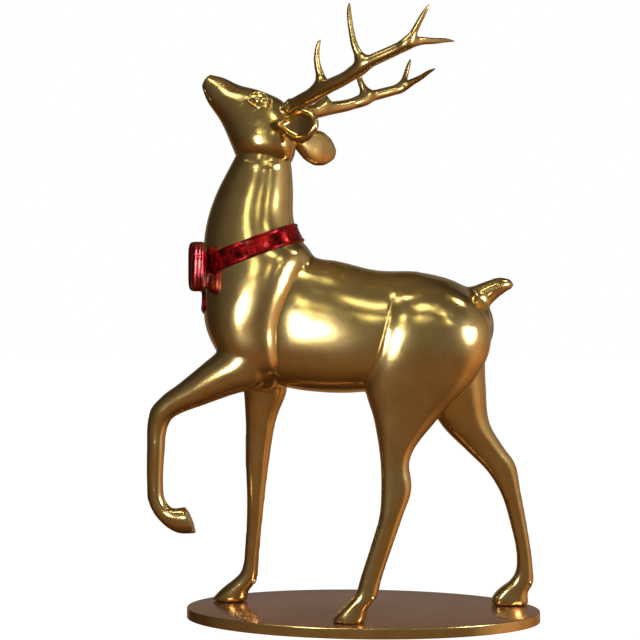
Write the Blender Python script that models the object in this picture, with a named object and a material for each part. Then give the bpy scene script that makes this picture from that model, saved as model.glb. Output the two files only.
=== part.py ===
"""Gold stag statue with a red ribbon and bow, standing on an oval plate.

The head points to -X and the left side to -Y. The origin is at the middle of the plate's underside.
"""
import math

import bmesh
import bpy
from mathutils import Matrix, Vector

# Driving dimensions, in metres.
BASE_LENGTH = 1.738
BASE_WIDTH = 0.730
BASE_THICKNESS = 0.050
BASE_EDGE_BEVEL = 0.006
STAG_HEIGHT = 2.860  # from the plate's top to the highest antler tip
STAG_SIDE_SHIFT = -0.060  # from the plate's long axis to the stag's midplane
RIBBON_WIDTH = 0.090
RIBBON_THICKNESS = 0.010
RIBBON_BEAD_WIDTH = 0.010
RIBBON_BEAD_HEIGHT = 0.004
RIBBON_TILT = math.radians(20.5)
BOW_SPAN = 0.420
BOW_HEIGHT = 0.236
BOW_DEPTH = 0.090
BOW_KNOT_HEIGHT = 0.100
BOW_KNOT_WIDTH = 0.076
BOW_KNOT_DEPTH = 0.080
BOW_TAIL_LENGTH = 0.215  # the left one
BOW_TAIL_LENGTH_RIGHT = 0.258
BOW_TAIL_WIDTH = 0.066
BOW_TAIL_THICKNESS = 0.012
BOW_TAIL_SPREAD = 0.070  # from the midplane to the middle of a tail's end
EYE_RADIUS = 0.026
TOUCH_GAP = 0.0003  # left between pieces that touch

# How finely the lofts are cut.
BODY_SIDES = 20
HEAD_SIDES = 16
LEG_SIDES = 12
TAIL_SIDES = 8
EAR_SIDES = 8
ANTLER_SIDES = 8
RINGS_PER_RIB = 2
BASE_SIDES = 72

GOLD = ("gold_leaf_paint", (0.56, 0.38, 0.11), 1.0, 0.26)
BASE_GOLD = ("base_satin_gold", (0.44, 0.27, 0.12), 1.0, 0.38)
RED = ("ribbon_red", (0.50, 0.010, 0.018), 0.35, 0.22)

# The stag is drawn in hundredths of its own height. A rib crosses the form from its front or lower
# edge to its rear or upper edge: x and z of the one, x and z of the other, the side distance of its
# middle from the midplane, and half its width. The left side is negative.
HEAD_RIBS = (
    (-21.6, 77.6, -11.9, 77.0, 0.0, 3.5),
    (-22.0, 78.6, -11.5, 78.3, 0.0, 4.2),
    (-22.5, 79.8, -11.3, 80.2, 0.0, 4.5),
    (-23.3, 81.7, -11.3, 83.5, 0.0, 4.3),
    (-24.1, 83.4, -12.8, 86.3, 0.0, 3.9),
    (-25.4, 85.4, -17.1, 88.7, 0.0, 3.1),
    (-26.5, 87.0, -21.3, 90.0, 0.0, 2.2),
    (-27.0, 88.1, -23.8, 91.2, 0.0, 1.7),
    (-27.4, 89.3, -25.8, 91.7, 0.0, 1.3),
)
NECK_RIBS = (
    (-21.1, 78.8, -12.5, 78.7, 0.0, 3.5),
    (-23.0, 75.2, -12.0, 75.3, 0.0, 3.9),
    (-24.7, 71.9, -11.8, 72.2, 0.0, 4.4),
    (-26.8, 65.4, -11.5, 66.0, 0.0, 5.3),
    (-27.2, 61.6, -10.1, 63.0, 0.0, 5.9),
    (-27.3, 58.2, -8.2, 60.6, 0.0, 6.6),
    (-27.1, 54.8, -9.2, 56.9, 0.0, 7.3),
    (-26.5, 47.9, -12.4, 48.2, 0.0, 7.8),
    (-23.7, 42.7, -12.9, 41.6, 0.0, 7.0),
    (-19.9, 38.6, -14.8, 38.2, 0.0, 3.6),
)
BARREL_RIBS = (
    (-17.1, 40.7, -17.1, 54.8, 0.0, 4.8),
    (-14.0, 38.5, -13.2, 60.2, 0.0, 6.4),
    (-6.8, 37.3, -5.5, 59.9, 0.0, 7.4),
    (1.4, 37.5, 2.4, 58.1, 0.0, 7.8),
    (10.5, 39.4, 10.5, 57.7, 0.0, 7.2),
    (17.0, 42.6, 17.0, 55.6, 0.0, 6.6),
    (20.4, 45.0, 20.4, 52.6, 0.0, 4.8),
)
BARREL_SAG = 0.22  # how far the barrel's widest line lies below its middle, as a share of half its height
HIND_LEFT_RIBS = (
    (8.0, 56.2, 14.8, 55.8, -2.0, 2.1),
    (4.6, 54.2, 18.0, 53.7, -3.0, 3.5),
    (2.3, 49.2, 21.2, 48.9, -3.8, 4.5),
    (1.0, 43.2, 20.9, 43.6, -4.2, 4.4),
    (0.5, 39.3, 18.9, 40.0, -4.4, 3.8),
    (2.1, 32.7, 12.5, 33.1, -4.9, 2.7),
    (3.1, 26.0, 7.9, 26.1, -5.7, 1.6),
    (3.2, 22.4, 8.3, 22.1, -5.9, 1.5),
    (2.9, 17.3, 6.6, 16.7, -6.3, 1.3),
    (1.8, 13.4, 5.2, 12.6, -6.5, 1.2),
    (-0.5, 6.4, 2.9, 5.8, -6.8, 1.2),
    (-1.8, 3.5, 1.9, 3.2, -7.0, 1.4),
    (-4.0, 1.7, 0.9, 1.3, -7.0, 1.7),
    (-5.1, 0.0, 0.7, 0.0, -7.0, 1.9),
)
HIND_RIGHT_RIBS = (
    (8.2, 56.2, 15.2, 56.0, 2.0, 2.1),
    (5.4, 54.3, 18.4, 53.9, 3.0, 3.5),
    (4.6, 50.3, 21.6, 50.0, 3.8, 4.4),
    (5.7, 46.1, 21.9, 46.7, 3.9, 4.5),
    (10.0, 38.3, 21.4, 38.5, 4.2, 3.7),
    (14.0, 31.0, 22.2, 31.5, 4.5, 2.7),
    (18.2, 26.8, 24.5, 27.6, 4.9, 2.0),
    (21.7, 23.3, 26.7, 24.4, 5.2, 1.6),
    (24.0, 19.6, 27.5, 20.2, 5.3, 1.3),
    (25.8, 14.0, 28.6, 14.4, 5.5, 1.2),
    (26.8, 6.8, 29.7, 6.8, 5.6, 1.2),
    (24.9, 3.4, 29.7, 3.1, 5.6, 1.5),
    (22.7, 1.2, 29.1, 1.2, 5.6, 1.7),
    (22.4, 0.0, 29.0, 0.0, 5.6, 1.9),
)
FORE_RIGHT_RIBS = (
    (-22.9, 47.9, -15.1, 47.9, 4.2, 3.1),
    (-20.9, 37.4, -13.2, 37.2, 4.6, 2.4),
    (-20.6, 32.9, -14.9, 32.7, 4.9, 1.9),
    (-20.6, 24.6, -16.4, 24.4, 5.2, 1.5),
    (-20.4, 17.0, -17.3, 17.0, 5.4, 1.2),
    (-20.8, 9.0, -18.1, 8.8, 5.5, 1.1),
    (-21.9, 4.5, -18.5, 4.2, 5.6, 1.3),
    (-24.5, 2.6, -19.8, 1.9, 5.6, 1.5),
    (-26.9, 0.0, -20.1, 0.0, 5.6, 1.8),
)
FORE_LEFT_RIBS = (
    (-21.1, 47.9, -14.0, 43.6, -4.2, 3.1),
    (-24.2, 44.3, -17.5, 38.2, -4.5, 3.0),
    (-26.1, 42.7, -20.8, 37.3, -4.7, 2.7),
    (-30.7, 39.1, -26.5, 35.7, -5.1, 2.0),
    (-34.7, 35.9, -31.1, 34.0, -5.2, 1.6),
    (-36.0, 31.4, -32.7, 30.7, -5.4, 1.4),
    (-36.0, 22.2, -33.3, 22.2, -5.6, 1.1),
    (-35.8, 19.5, -32.9, 20.0, -5.6, 1.2),
    (-34.1, 16.5, -31.8, 18.3, -5.6, 1.3),
    (-30.5, 14.0, -30.1, 18.4, -5.6, 1.6),
    (-27.5, 14.0, -29.3, 18.4, -5.6, 1.7),
)
TAIL_RIBS = (
    (18.6, 50.8, 16.6, 55.6, 0.0, 1.7),
    (20.9, 51.5, 18.3, 55.3, 0.0, 1.7),
    (22.9, 53.2, 21.2, 56.3, 0.0, 1.4),
    (24.3, 54.3, 23.5, 56.9, 0.0, 1.2),
    (25.0, 54.7, 24.8, 56.6, 0.0, 0.9),
)

# Antler points in hundredths of the stag's height: x, side distance, z and radius.
ANTLER_SEAT = (-11.9, 3.2, 85.4, 1.25)
ANTLER_BEAM = (
    (-7.8, 7.0, 86.7, 1.25),
    (-5.4, 9.0, 87.6, 1.15),
    (-2.9, 10.7, 88.3, 1.05),
    (-1.0, 12.0, 89.2, 1.03),
    (0.9, 13.2, 90.3, 1.01),
    (3.5, 14.4, 91.2, 0.95),
    (5.5, 15.2, 91.9, 0.92),
    (7.2, 16.0, 92.5, 0.86),
    (9.2, 15.2, 93.2, 0.64),
    (11.2, 13.8, 93.5, 0.50),
    (13.1, 12.2, 94.0, 0.37),
    (14.7, 10.8, 94.2, 0.14),
)
ANTLER_TINES = (
    ((-8.0, 6.6, 86.6, 0.60), (-6.5, 7.6, 88.3, 0.82), (-7.0, 8.0, 90.5, 0.62), (-7.3, 8.5, 92.0, 0.50),
     (-7.2, 9.0, 93.4, 0.42), (-6.9, 9.4, 94.6, 0.32), (-6.6, 9.6, 95.1, 0.13)),
    ((-1.6, 11.6, 89.0, 0.55), (0.3, 12.8, 90.2, 0.76), (-0.4, 13.0, 91.7, 0.70), (-1.0, 13.3, 93.0, 0.58),
     (-1.5, 13.5, 95.2, 0.48), (-1.8, 13.8, 97.2, 0.43), (-1.9, 14.0, 98.8, 0.34), (-1.8, 14.2, 99.7, 0.14)),
    ((6.3, 15.6, 92.2, 0.45), (7.3, 16.2, 92.9, 0.62), (8.0, 16.4, 93.9, 0.58), (8.6, 16.8, 95.0, 0.50),
     (9.2, 17.2, 96.1, 0.44), (9.9, 17.6, 97.3, 0.36), (10.5, 17.9, 98.2, 0.13)),
)
ANTLER_TOP_FORK = 7.7  # x of the fork past which the two antlers differ
ANTLER_TOP_SHIFT = {-1: 0.04, 1: -0.22}  # how far the left and right tips stray back, per hundredth
ANTLER_TOP_RISE = {-1: 0.0, 1: 0.10}  # how far they rise, per hundredth
# How far each tine's root and tip lie off the drawn ones along x: the two antlers differ a little.
TINE_SHIFTS = {-1: ((0.0, 0.0), (0.0, 0.0), (0.0, 0.0)), 1: ((-0.1, -1.2), (0.6, 0.6), (0.0, -1.3))}
PEDICLE_LENGTH = 3.2

# Ears: root and tip of each, in hundredths of the stag's height, and stations along it, each a share
# of the length, half the width and half the depth.
EAR_ENDS = {-1: ((-13.7, 4.2, 82.1), (-7.1, 8.3, 81.5)), 1: ((-12.4, 4.4, 81.4), (-4.9, 9.6, 79.3))}
EAR_FACING = {-1: Vector((-0.45, -0.88, 0.05)), 1: Vector((-0.62, 0.78, 0.05))}  # the way its hollow faces
EAR_STATIONS = (
    (-0.40, 1.6, 1.7),
    (-0.16, 1.4, 1.4),
    (0.02, 1.15, 1.2),
    (0.12, 1.45, 1.15),
    (0.28, 2.3, 1.15),
    (0.44, 2.95, 1.15),
    (0.58, 3.15, 1.15),
    (0.74, 2.8, 1.0),
    (0.88, 2.0, 0.75),
    (0.97, 1.1, 0.5),
)
EAR_CUP_STATIONS = (
    (0.08, 0.10, 0.3),
    (0.20, 0.80, 0.75),
    (0.36, 1.70, 1.05),
    (0.54, 2.20, 1.15),
    (0.70, 2.00, 1.05),
    (0.83, 1.25, 0.7),
    (0.92, 0.40, 0.3),
)
EAR_CUP_SHIFT = 0.85
EYE_PLACE = (-17.7, 2.75, 86.7)
RIBBON_MIDDLE = (-18.6, 61.6)  # x and z of the band's middle
BOW_MIDDLE = (-27.6, 58.5)  # x and z of the knot's middle, on the chest where the band crosses it

# Stations along a bow loop, each a share of its reach to the side, of half its height and of half its
# depth, and how far it bends back as a share of the reach.
BOW_LOOP_STATIONS = (
    (0.06, 0.30, 0.50, 0.00),
    (0.30, 0.72, 0.80, 0.00),
    (0.60, 0.98, 1.00, 0.02),
    (0.84, 1.00, 1.00, 0.05),
    (0.97, 0.86, 0.80, 0.07),
)
# Stations down a bow tail, each a share of its length, of its sideways spread and of its width, and how
# far it sways back as a share of its length.
BOW_TAIL_STATIONS = (
    (0.04, 0.15, 0.55, 0.00),
    (0.30, 0.35, 0.80, 0.06),
    (0.52, 0.55, 1.00, 0.10),
    (0.76, 0.78, 1.00, 0.11),
    (1.00, 1.00, 1.00, 0.09),
)
BOW_TAIL_TURN = 0.35  # how much its lower edge slopes


def clear_scene():
    for thing in list(bpy.data.objects):
        bpy.data.objects.remove(thing)


def stag_point(x, side, z):
    """A point given in hundredths of the stag's height, in metres."""
    unit = STAG_HEIGHT / 100
    return Vector((x * unit, STAG_SIDE_SHIFT + side * unit, BASE_THICKNESS + TOUCH_GAP + z * unit))


def new_collection(name):
    group = bpy.data.collections.new(name)
    bpy.context.scene.collection.children.link(group)
    return group


def new_material(spec):
    name, colour, metallic, roughness = spec
    material = bpy.data.materials.new(name)
    material.use_nodes = True
    shader = material.node_tree.nodes["Principled BSDF"]
    shader.inputs["Base Color"].default_value = (*colour, 1.0)
    shader.inputs["Metallic"].default_value = metallic
    shader.inputs["Roughness"].default_value = roughness
    return material


def object_from_bmesh(bm, name, group):
    bmesh.ops.recalc_face_normals(bm, faces=bm.faces)
    mesh = bpy.data.meshes.new(name)
    bm.to_mesh(mesh)
    bm.free()
    thing = bpy.data.objects.new(name, mesh)
    group.objects.link(thing)
    return thing


def smooth_stations(stations, steps):
    """Stations along a smooth curve through the given ones, with `steps` for each span."""
    last = len(stations) - 1
    spans = [math.dist(stations[i], stations[i + 1]) for i in range(last)]
    slopes = []
    for i in range(last + 1):
        before = max(i - 1, 0)
        after = min(i, last - 1)
        slope = []
        for k in range(len(stations[i])):
            left = (stations[before + 1][k] - stations[before][k]) / spans[before]
            right = (stations[after + 1][k] - stations[after][k]) / spans[after]
            slope.append((left * spans[after] + right * spans[before]) / (spans[before] + spans[after]))
        slopes.append(slope)
    result = []
    for i in range(last):
        for step in range(steps):
            t = step / steps
            start = 2 * t**3 - 3 * t**2 + 1
            end = 1 - start
            rise = (t**3 - 2 * t**2 + t) * spans[i]
            fall = (t**3 - t**2) * spans[i]
            result.append([
                start * a + end * b + rise * c + fall * d
                for a, b, c, d in zip(stations[i], stations[i + 1], slopes[i], slopes[i + 1])
            ])
    result.append(list(stations[last]))
    return result


def loft(rings, sides, name, group, domes=(0.0, 0.0), squareness=(2.0, 2.0), sag=0.0):
    """A closed skin over rings of (middle, half axis, other half axis).

    A dome rounds off an end by that share of its half axis. The two squarenesses belong to the sides
    that the first half axis points away from and towards: 2 is an ellipse, more is boxier. They may
    be a function of a ring's middle. Sag carries the other two sides towards the front or lower one.
    Every quad is split along the same diagonal, so that a grown copy stays clear of the form.
    """
    rings = list(rings)
    for end, dome in enumerate(domes):
        if not dome:
            continue
        here, neighbour = (rings[0], rings[1]) if end == 0 else (rings[-1], rings[-2])
        outward = (here[0] - neighbour[0]).normalized() * here[1].length * dome
        for angle in (math.radians(35), math.radians(68)):
            middle = here[0] + outward * math.sin(angle)
            ring = (middle, here[1] * math.cos(angle), here[2] * math.cos(angle))
            rings.insert(0 if end == 0 else len(rings), ring)
    bm = bmesh.new()
    loops = []
    for middle, half, other in rings:
        loop = []
        corners = squareness(middle) if callable(squareness) else squareness
        for i in range(sides):
            angle = 2 * math.pi * i / sides
            across = math.cos(angle)
            along = math.sin(angle)
            power = 2 / corners[across > 0]
            across = math.copysign(abs(across) ** power, across)
            along = math.copysign(abs(along) ** power, along)
            loop.append(bm.verts.new(middle + half * (across - sag * along**2) + other * along))
        loops.append(loop)
    for lower, upper in zip(loops, loops[1:]):
        for i in range(sides):
            j = (i + 1) % sides
            bm.faces.new((lower[i], lower[j], upper[j]))
            bm.faces.new((lower[i], upper[j], upper[i]))
    bm.faces.new(loops[0])
    bm.faces.new(loops[-1])
    return object_from_bmesh(bm, name, group)


def rib_rings(ribs, growth=0.0):
    """Rings in metres for a table of ribs, each grown outwards by a length in metres."""
    rings = []
    for front_x, front_z, rear_x, rear_z, side, width in smooth_stations(ribs, RINGS_PER_RIB):
        front = stag_point(front_x, side, front_z)
        rear = stag_point(rear_x, side, rear_z)
        half = (rear - front) / 2
        half += half.normalized() * growth
        other = Vector((0, width * STAG_HEIGHT / 100 + growth, 0))
        rings.append(((front + rear) / 2, half, other))
    return rings


def tube_rings(points, steps=RINGS_PER_RIB):
    """Round rings in metres along points of (x, y, z, radius) in metres, without a twist between them."""
    stations = smooth_stations(points, steps)
    rings = []
    turn = None
    for i, (x, y, z, radius) in enumerate(stations):
        before = Vector(stations[max(i - 1, 0)][:3])
        after = Vector(stations[min(i + 1, len(stations) - 1)][:3])
        course = (after - before).normalized()
        if turn is None:
            turn = course.to_track_quat("Z", "Y")
        else:
            turn = (turn @ Vector((0, 0, 1))).rotation_difference(course) @ turn
        rings.append((Vector((x, y, z)), turn @ Vector((radius, 0, 0)), turn @ Vector((0, radius, 0))))
    return rings


def combine(first, others, operation, solver="EXACT"):
    """Joins, cuts or trims the first solid by the others, which are used up."""
    for other in others:
        modifier = first.modifiers.new("combine", "BOOLEAN")
        modifier.operation = operation
        modifier.solver = solver
        modifier.object = other
    bpy.context.view_layer.update()
    shape = bpy.data.meshes.new_from_object(first.evaluated_get(bpy.context.evaluated_depsgraph_get()))
    first.modifiers.clear()
    first.data = shape
    for other in others:
        bpy.data.objects.remove(other)
    return first


def finish(thing, name, material, sharp_angle=math.radians(35)):
    thing.name = name
    thing.data.name = name
    thing.data.materials.clear()
    thing.data.materials.append(material)
    thing.data.shade_smooth()
    thing.data.set_sharp_from_angle(angle=sharp_angle)


def make_base(group):
    bm = bmesh.new()
    bmesh.ops.create_cone(
        bm, cap_ends=True, segments=BASE_SIDES, radius1=0.5, radius2=0.5, depth=BASE_THICKNESS,
        matrix=Matrix.Translation((0, 0, BASE_THICKNESS / 2)),
    )
    bmesh.ops.scale(bm, vec=(BASE_LENGTH, BASE_WIDTH, 1), verts=bm.verts)
    top_edges = [e for e in bm.edges if all(v.co.z > BASE_THICKNESS / 2 for v in e.verts)]
    bmesh.ops.bevel(
        bm, geom=top_edges, offset=BASE_EDGE_BEVEL, segments=1, profile=0.5, affect="EDGES", material=-1,
    )
    return object_from_bmesh(bm, "base_plate", group)


def neck_squareness(middle):
    """The neck is round, and the shoulder below it ends squarely behind."""
    top = stag_point(0, 0, 66).z
    low = min(1.0, max(0.0, (top - middle.z) / (0.12 * STAG_HEIGHT)))
    return 2.0 + 0.35 * low, 2.2 + 1.0 * low


def neck_solid(group, growth=0.0):
    return loft(rib_rings(NECK_RIBS, growth), BODY_SIDES, "neck", group, (0.3, 0.3), neck_squareness)


def barrel_solid(group, growth=0.0):
    rings = rib_rings(BARREL_RIBS, growth)
    return loft(rings, BODY_SIDES, "barrel", group, (0.5, 0.5), (2.2, 2.2), BARREL_SAG)


def antler_path(points, mirror):
    """Antler points in metres on one side, with its own stray of the tips past the top fork."""
    path = []
    for x, side, z, radius in points:
        past_fork = max(0.0, x - ANTLER_TOP_FORK)
        stray = ANTLER_TOP_SHIFT[mirror] * past_fork
        rise = ANTLER_TOP_RISE[mirror] * past_fork
        path.append((*stag_point(x + stray, mirror * side, z + rise), radius * STAG_HEIGHT / 100))
    return path


def seat_line(mirror):
    """The middle of an antler's joint with its stump, and the direction that it grows in."""
    seat, first = antler_path((ANTLER_SEAT, ANTLER_BEAM[0]), mirror)
    middle = Vector(seat[:3])
    return middle, (Vector(first[:3]) - middle).normalized(), seat[3]


def make_antler(mirror, group):
    middle, outward, radius = seat_line(mirror)
    foot = middle + outward * TOUCH_GAP
    burr = foot + outward * radius * 0.5
    beam = [(*foot, radius * 1.12), (*burr, radius * 1.12)] + antler_path(ANTLER_BEAM, mirror)
    antler = loft(tube_rings(beam, 1), ANTLER_SIDES, "beam", group, (0.0, 0.8))
    tines = []
    for points, (root, tip) in zip(ANTLER_TINES, TINE_SHIFTS[mirror]):
        last = len(points) - 1
        moved = []
        for i, (x, side, z, point_radius) in enumerate(points):
            moved.append((x + root + (tip - root) * i / last, side, z, point_radius))
        rings = tube_rings(antler_path(moved, mirror), 1)
        tines.append(loft(rings, ANTLER_SIDES, "tine", group, (0.3, 0.8)))
    return combine(antler, tines, "UNION")


def make_pedicle(mirror, group):
    middle, outward, radius = seat_line(mirror)
    root = middle - outward * PEDICLE_LENGTH * STAG_HEIGHT / 100
    points = [(*root, radius * 1.3), (*middle.lerp(root, 0.4), radius * 1.02), (*middle, radius)]
    return loft(tube_rings(points), ANTLER_SIDES + 2, "pedicle", group, (0.3, 0.0))


def ear_rings(stations, mirror, shift=0.0):
    """Rings across an ear: its width stands nearly upright and its hollow faces forward and out."""
    root, tip = [stag_point(x, mirror * side, z) for x, side, z in EAR_ENDS[mirror]]
    along = tip - root
    across = along.cross(EAR_FACING[mirror]).normalized()
    facing = across.cross(along).normalized()
    unit = STAG_HEIGHT / 100
    rings = []
    for share, width, depth in stations:
        middle = root + along * share + facing * shift * unit
        rings.append((middle, facing * depth * unit, across * width * unit))
    return rings


def make_ear(mirror, group):
    ear = loft(ear_rings(EAR_STATIONS, mirror), EAR_SIDES, "ear", group, (0.3, 0.5))
    cup = loft(ear_rings(EAR_CUP_STATIONS, mirror, EAR_CUP_SHIFT), EAR_SIDES, "cup", group, (0.3, 0.3))
    return combine(ear, [cup], "DIFFERENCE")


def make_eye(mirror, group):
    x, side, z = EYE_PLACE
    bm = bmesh.new()
    bmesh.ops.create_icosphere(
        bm, subdivisions=2, radius=EYE_RADIUS, matrix=Matrix.Translation(stag_point(x, mirror * side, z)),
    )
    return object_from_bmesh(bm, "eye", group)


def make_stag(group):
    body = barrel_solid(group)
    pieces = [neck_solid(group)]
    pieces.append(loft(rib_rings(HEAD_RIBS), HEAD_SIDES, "head", group, (0.2, 0.35)))
    for ribs in (HIND_LEFT_RIBS, HIND_RIGHT_RIBS):
        pieces.append(loft(rib_rings(ribs), LEG_SIDES, "hind_leg", group, (0.3, 0.0), (2.8, 2.2)))
    for ribs in (FORE_LEFT_RIBS, FORE_RIGHT_RIBS):
        pieces.append(loft(rib_rings(ribs), LEG_SIDES, "fore_leg", group, (0.4, 0.0)))
    pieces.append(loft(rib_rings(TAIL_RIBS), TAIL_SIDES, "tail", group, (0.4, 0.8)))
    for mirror in (-1, 1):
        pieces.append(make_pedicle(mirror, group))
        pieces.append(make_ear(mirror, group))
        pieces.append(make_eye(mirror, group))
    return combine(body, pieces, "UNION", "MANIFOLD")


def band_slab(width, shift, group):
    """A wide flat block across the neck, tilted as the ribbon is."""
    x, z = RIBBON_MIDDLE
    place = Matrix.Translation(stag_point(x, 0, z)) @ Matrix.Rotation(-RIBBON_TILT, 4, "Y")
    place @= Matrix.Translation((0, 0, shift)) @ Matrix.Diagonal((1.0, 0.8, width, 1.0))
    bm = bmesh.new()
    bmesh.ops.create_cube(bm, size=1.0, matrix=place)
    return object_from_bmesh(bm, "slab", group)


def band_solid(height, width, shift, group):
    """The solid part of a band of a given height and width about the neck."""
    return combine(band_slab(width, shift, group), [neck_solid(group, height)], "INTERSECT")


def make_collar(group, gap=0.0, hollow=True):
    """The ribbon about the neck, with a bead along each edge, grown by a gap where it is a cutter."""
    collar = band_solid(RIBBON_THICKNESS + gap, RIBBON_WIDTH - RIBBON_BEAD_WIDTH, 0.0, group)
    bead_shift = (RIBBON_WIDTH - RIBBON_BEAD_WIDTH) / 2
    beads = []
    for side in (-1, 1):
        height = RIBBON_THICKNESS + RIBBON_BEAD_HEIGHT + gap
        beads.append(band_solid(height, RIBBON_BEAD_WIDTH + 2 * gap, side * bead_shift, group))
    combine(collar, beads, "UNION")
    if hollow:
        combine(collar, [neck_solid(group, TOUCH_GAP), barrel_solid(group, TOUCH_GAP)], "DIFFERENCE")
    return collar


def bow_loop(side, middle, group):
    """One puffed loop, from the knot out to the side."""
    rings = []
    for share, height, depth, back in smooth_stations(BOW_LOOP_STATIONS, RINGS_PER_RIB):
        place = middle + Vector((back, side * share, 0)) * BOW_SPAN / 2
        rings.append((place, Vector((depth * BOW_DEPTH / 2, 0, 0)), Vector((0, 0, height * BOW_HEIGHT / 2))))
    return loft(rings, LEG_SIDES, "bow_loop", group, (0.0, 0.3), (3.4, 3.4))


def bow_tail(side, length, middle, group):
    """A flat end of ribbon that hangs from the knot and turns a little outwards."""
    rings = []
    for share, spread, width, sway in BOW_TAIL_STATIONS:
        place = middle + Vector((sway * length, side * spread * BOW_TAIL_SPREAD, -length * share))
        across = Vector((0, 1, side * BOW_TAIL_TURN)) * width * BOW_TAIL_WIDTH / 2
        rings.append((place, Vector((BOW_TAIL_THICKNESS / 2, 0, 0)), across))
    return loft(rings, TAIL_SIDES, "bow_tail", group, (0.0, 0.0), (6.0, 6.0))


def bow_knot(middle, group):
    """The gathered middle, full at its waist and tapering up and down."""
    rings = []
    for share in (-1.0, -0.6, 0.0, 0.6, 1.0):
        swell = 1.0 - 0.3 * abs(share)
        level = middle + Vector((0, 0, share * BOW_KNOT_HEIGHT / 2))
        half = Vector((swell * BOW_KNOT_DEPTH / 2, 0, 0))
        rings.append((level, half, Vector((0, swell * BOW_KNOT_WIDTH / 2, 0))))
    return loft(rings, TAIL_SIDES, "knot", group, (0.3, 0.3))


def make_bow(group):
    """The bow, hollowed behind to sit on the neck and over the collar."""
    x, z = BOW_MIDDLE
    middle = stag_point(x, 0, z)
    pieces = []
    for side, length in ((-1, BOW_TAIL_LENGTH), (1, BOW_TAIL_LENGTH_RIGHT)):
        pieces.append(bow_loop(side, middle, group))
        pieces.append(bow_tail(side, length, middle, group))
    bow = combine(bow_knot(middle, group), pieces, "UNION", "MANIFOLD")
    cutters = [neck_solid(group, TOUCH_GAP), make_collar(group, TOUCH_GAP, hollow=False)]
    return combine(bow, cutters, "DIFFERENCE", "MANIFOLD")


def build():
    clear_scene()
    statue = new_collection("stag_statue")
    gold = new_material(GOLD)
    red = new_material(RED)
    finish(make_base(statue), "base_plate", new_material(BASE_GOLD))
    finish(make_stag(statue), "stag", gold)
    finish(make_antler(-1, statue), "antler_left", gold)
    finish(make_antler(1, statue), "antler_right", gold)
    finish(make_collar(statue), "ribbon_collar", red)
    finish(make_bow(statue), "bow", red)


build()
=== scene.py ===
"""The gold stag, its antlers, its red ribbon and bow and its oval base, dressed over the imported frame."""
import math

import bmesh
import bpy
import numpy as np
from mathutils import Matrix, Vector


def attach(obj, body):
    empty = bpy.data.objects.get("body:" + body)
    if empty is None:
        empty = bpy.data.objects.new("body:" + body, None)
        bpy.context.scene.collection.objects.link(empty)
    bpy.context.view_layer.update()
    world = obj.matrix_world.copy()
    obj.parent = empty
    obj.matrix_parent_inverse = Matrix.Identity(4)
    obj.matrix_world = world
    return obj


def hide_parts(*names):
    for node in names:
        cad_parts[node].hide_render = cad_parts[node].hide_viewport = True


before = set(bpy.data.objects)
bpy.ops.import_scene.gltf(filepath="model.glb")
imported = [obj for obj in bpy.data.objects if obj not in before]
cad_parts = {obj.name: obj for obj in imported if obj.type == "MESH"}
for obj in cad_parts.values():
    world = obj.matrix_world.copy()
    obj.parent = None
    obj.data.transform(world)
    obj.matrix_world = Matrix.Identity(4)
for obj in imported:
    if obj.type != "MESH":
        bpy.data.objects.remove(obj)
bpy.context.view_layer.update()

# Sizes of the real statue, in metres.
BASE_LENGTH = 1.738
BASE_WIDTH = 0.730
BASE_THICKNESS = 0.050
BASE_EDGE_ROUND = 0.006
JOINT_GAP = 0.0003  # between touching pieces
STAG_HEIGHT = 2.860
STAG_SIDE_SHIFT = -0.060
UNIT = STAG_HEIGHT / 100  # the stag is drawn in hundredths of its height
RIBBON_WIDTH = 0.090
RIBBON_THICKNESS = 0.010
RIBBON_TILT = math.radians(20.5)
BOW_SPAN = 0.420
BOW_HEIGHT = 0.236
BOW_DEPTH = 0.090

# How fine the cast surfaces are: the grain of each casting in metres, and how often it is softened.
FRONT_CAST = (0.0120, 4)
REAR_CAST = (0.0120, 5)
HEAD_CAST = (0.0056, 10)
EAR_CAST = (0.0036, 4)
EYE_CAST = (0.0026, 3)
ANTLER_CAST = (0.0030, 14)
BOW_CAST = (0.0028, 4)
SOFTENING = 0.5
STEPS_PER_RIB = 7
STEPS_ALONG_LINE = 10
STEPS_ALONG_BEAD = 8
STEPS_ALONG_BEAM = 90
BASE_SIDES = 256
BASE_EDGE_STEPS = 4
BODY_SIDES = 72
LOOP_SIDES = 64
LIMB_SIDES = 48
SMALL_SIDES = 40
EYE_SIDES = 32
STRAP_SIDES = 24
CLAW_SIDES = 20
BEAD_SIDES = 16
BEAD_DOMES = (0.8, 0.8)
DOME_DEGREES = (20, 40, 58, 72, 83)
# The antlers' flowing skin: the scale that it is made at, the reach of each ball in radii, and its strength.
FLOW_SCALE = 10.0
FLOW_REACH = 2.6
FLOW_STRENGTH = 0.442

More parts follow.
